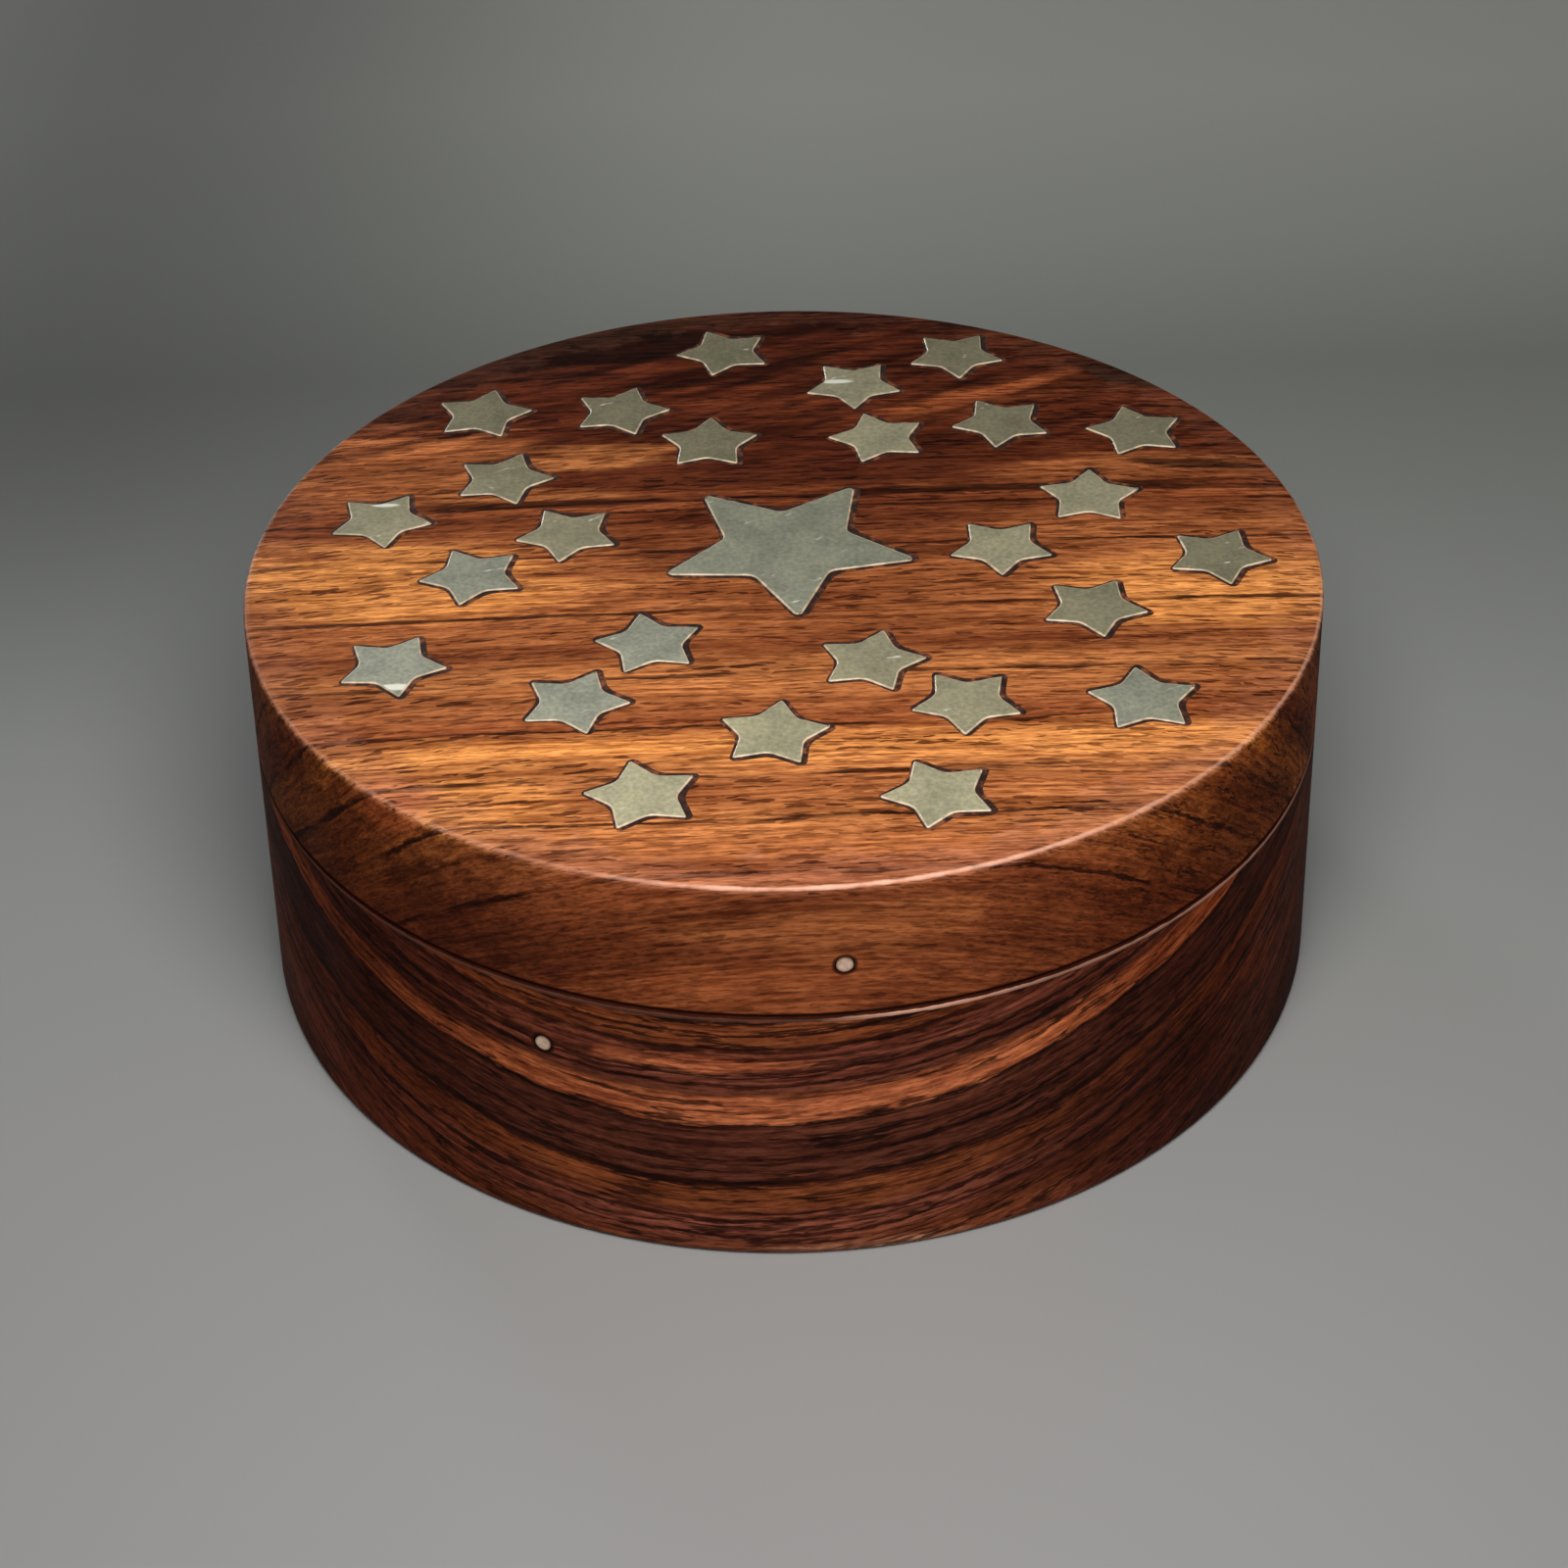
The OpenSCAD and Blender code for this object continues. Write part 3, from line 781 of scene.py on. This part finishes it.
def shell(name, cream, grey, bright):
    """Ground shell with clouds and speckle, painted light falloff and painted glints."""
    material, tree, surface = new_material(name)
    point = point_mm(tree)
    clouds = tree.noise(point, scale=0.3, detail=3, roughness=0.55)
    speckle = tree.noise(point, scale=2.2, detail=3, roughness=0.6)
    colour = shell_colour(tree, point, cream, grey)
    colour = shade(tree, colour, clouds, *CLOUD_TINTS)
    colour = shade(tree, colour, speckle, *SPECKLE_TINTS)
    tree.put(surface["Base Color"], add_glints(tree, colour, point, bright))
    polish(tree, surface, clouds, low=0.32, high=0.46)
    tree.put(surface["Normal"], tree.bump(speckle, strength=0.15, distance=0.03 * MM))
    surface["Specular IOR Level"].default_value = SHELL_SPECULAR
    surface["Coat Weight"].default_value = SHELL_COAT
    surface["Coat Roughness"].default_value = SHELL_COAT_ROUGHNESS
    return material


def shell_edge_highlight():
    """The stars' chamfers, paler and warmer than the shell as a painted highlight."""
    material, tree, surface = new_material("shell edge highlight")
    painted_edge = tree.noise(point_mm(tree), scale=0.9, detail=3)
    tree.put(surface["Base Color"], colour_along(tree, painted_edge, SHELL_EDGE_HIGHLIGHT_TONES))
    polish(tree, surface, painted_edge, low=0.3, high=0.45)
    surface["Coat Weight"].default_value = SHELL_COAT
    return material


def dark_filler():
    """Filler of dark resin and sawdust, which runs out brown here and there."""
    material, tree, surface = new_material("dark filler")
    grain = tree.noise(point_mm(tree), scale=0.9, detail=4, roughness=0.6)
    tree.put(surface["Base Color"], colour_along(tree, grain, FILLER_TONES))
    polish(tree, surface, grain, low=0.45, high=0.65)
    tree.put(surface["Normal"], tree.bump(grain, strength=0.4, distance=0.08 * MM))
    return material


def peg_bone():
    """Bone whose rim is stained by the glue round it."""
    material, tree, surface = new_material("peg bone")
    point = point_mm(tree)
    grain = tree.noise(point, scale=2.2, detail=3)
    colour = colour_along(tree, grain, BONE_TONES)
    for peg in PEGS:
        away = from_peg_end(tree, point, peg)
        stain = tree.span(away, *STAIN_REACH, 0.0, STAIN_SHARE)
        near = tree.math("LESS_THAN", away, PEG_HALF)
        colour = tree.mix(tree.math("MULTIPLY", stain, near), colour, srgb(*UMBER))
    tree.put(surface["Base Color"], colour)
    polish(tree, surface, grain, low=0.3, high=0.45)
    return material


# The stars' chamfers in millimetres, cut on edges sharper than this many degrees
CHAMFER, CHAMFER_STEPS, CHAMFER_SHARPEST = 0.16, 2, 60
# Corners closer than this many millimetres are joined, so that the chamfer finds whole edges
WELD_REACH = 0.001


def dress(node, *materials):
    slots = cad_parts[node].data.materials
    slots.clear()
    for material in materials:
        slots.append(material)


def chamfer_star(node):
    """Chamfers a star's sharp edges, which take its second material."""
    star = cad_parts[node]
    weld = star.modifiers.new("weld", "WELD")
    weld.merge_threshold = WELD_REACH * MM
    bevel = star.modifiers.new("chamfer", "BEVEL")
    bevel.width = CHAMFER * MM
    bevel.segments = CHAMFER_STEPS
    bevel.limit_method = "ANGLE"
    bevel.angle_limit = math.radians(CHAMFER_SHARPEST)
    bevel.material = 1
    bevel.use_clamp_overlap = False
    bevel.harden_normals = True


def dress_parts():
    """Gives every piece its material, and the stars their chamfers."""
    dress("lid", lid_wood())
    dress("base", base_wood())
    dress("star_filler", dark_filler())
    bone = peg_bone()
    for peg in PEGS:
        dress(peg, bone)
    edge = shell_edge_highlight()
    shells = {kind: shell(kind, *tones) for kind, tones in SHELLS.items()}
    for node in sorted(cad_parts):
        if node.startswith("star_") and node != "star_filler":
            dress(node, shells[STAR_SHELLS.get(node, "star shell")], edge)
            chamfer_star(node)


# ---------------------------------------------------------------- floor, light and camera

def floor_mesh():
    """A plain floor that bends up into a backdrop behind the box."""
    half = FLOOR_SIZE / 2
    profile = [(-half, 0)]
    for i in range(FLOOR_STEPS + 1):
        turn = math.radians(90) * i / FLOOR_STEPS
        profile.append((FLOOR_BACK - FLOOR_BEND + FLOOR_BEND * math.sin(turn),
                        FLOOR_BEND * (1 - math.cos(turn))))
    profile.append((FLOOR_BACK, half))
    corners = [(side * half * MM, y * MM, z * MM) for y, z in profile for side in (-1, 1)]
    faces = [(2 * i, 2 * i + 1, 2 * i + 3, 2 * i + 2) for i in range(len(profile) - 1)]
    mesh = bpy.data.meshes.new("floor")
    mesh.from_pydata(corners, [], faces)
    mesh.shade_smooth()
    return mesh


def floor_paper():
    """Matt paper whose tones run from front to back, with a painted shadow of a fold behind the box
    and painted shade on the left behind.
    """
    material, tree, surface = new_material("floor paper")
    right, back, _ = tree.split(point_mm(tree))
    dim = tree.math("MULTIPLY", tree.span(right, *DIM_LEFT, smooth=True),
                    tree.span(back, *DIM_BACK, smooth=True))
    tree.put(surface["Base Color"],
             tree.mix(tree.math("MULTIPLY", dim, DIM_SHARE),
                      colour_along(tree, back, FLOOR_TONES), srgb(*DIM_TONE)))
    surface["Roughness"].default_value = FLOOR_ROUGHNESS
    return material


def build_floor():
    """The floor is staging and no part of the box."""
    mesh = floor_mesh()
    mesh.materials.append(floor_paper())
    floor = bpy.data.objects.new("floor", mesh)
    bpy.context.scene.collection.objects.link(floor)


def add_lamp(name, at, size, power, colour):
    """A round lamp that faces the box and stays out of the picture."""
    lamp = bpy.data.lights.new(name, "AREA")
    lamp.shape = "DISK"
    lamp.size = size * MM
    lamp.energy = power
    lamp.color = colour
    holder = bpy.data.objects.new(name, lamp)
    bpy.context.scene.collection.objects.link(holder)
    holder.location = at * MM
    holder.rotation_euler = (LAMP_AIM - at).to_track_quat("-Z", "Y").to_euler()
    holder.visible_camera = False


def light_room():
    add_lamp("key", KEY_AT, KEY_SIZE, KEY_POWER, KEY_COLOUR)
    add_lamp("fill", FILL_AT, FILL_SIZE, FILL_POWER, FILL_COLOUR)
    world = bpy.data.worlds.new("room")
    world.use_nodes = True
    background = world.node_tree.nodes["Background"]
    background.inputs["Color"].default_value = (*ROOM_COLOUR, 1)
    background.inputs["Strength"].default_value = ROOM_LIGHT
    bpy.context.scene.world = world


def place_camera():
    lens = bpy.data.cameras.new("camera")
    lens.lens = CAMERA_LENS
    lens.sensor_width = CAMERA_SENSOR
    lens.clip_start = CAMERA_NEAR * MM
    camera = bpy.data.objects.new("camera", lens)
    bpy.context.scene.collection.objects.link(camera)
    camera.location = CAMERA_AT * MM
    look = (CAMERA_AIM - CAMERA_AT).to_track_quat("-Z", "Y").to_matrix()
    camera.rotation_euler = (look @ Matrix.Rotation(-CAMERA_LEAN, 3, "Z")).to_euler()
    bpy.context.scene.camera = camera


place_camera()
build_floor()
light_room()
dress_parts()
bpy.context.scene.view_settings.view_transform = "Standard"
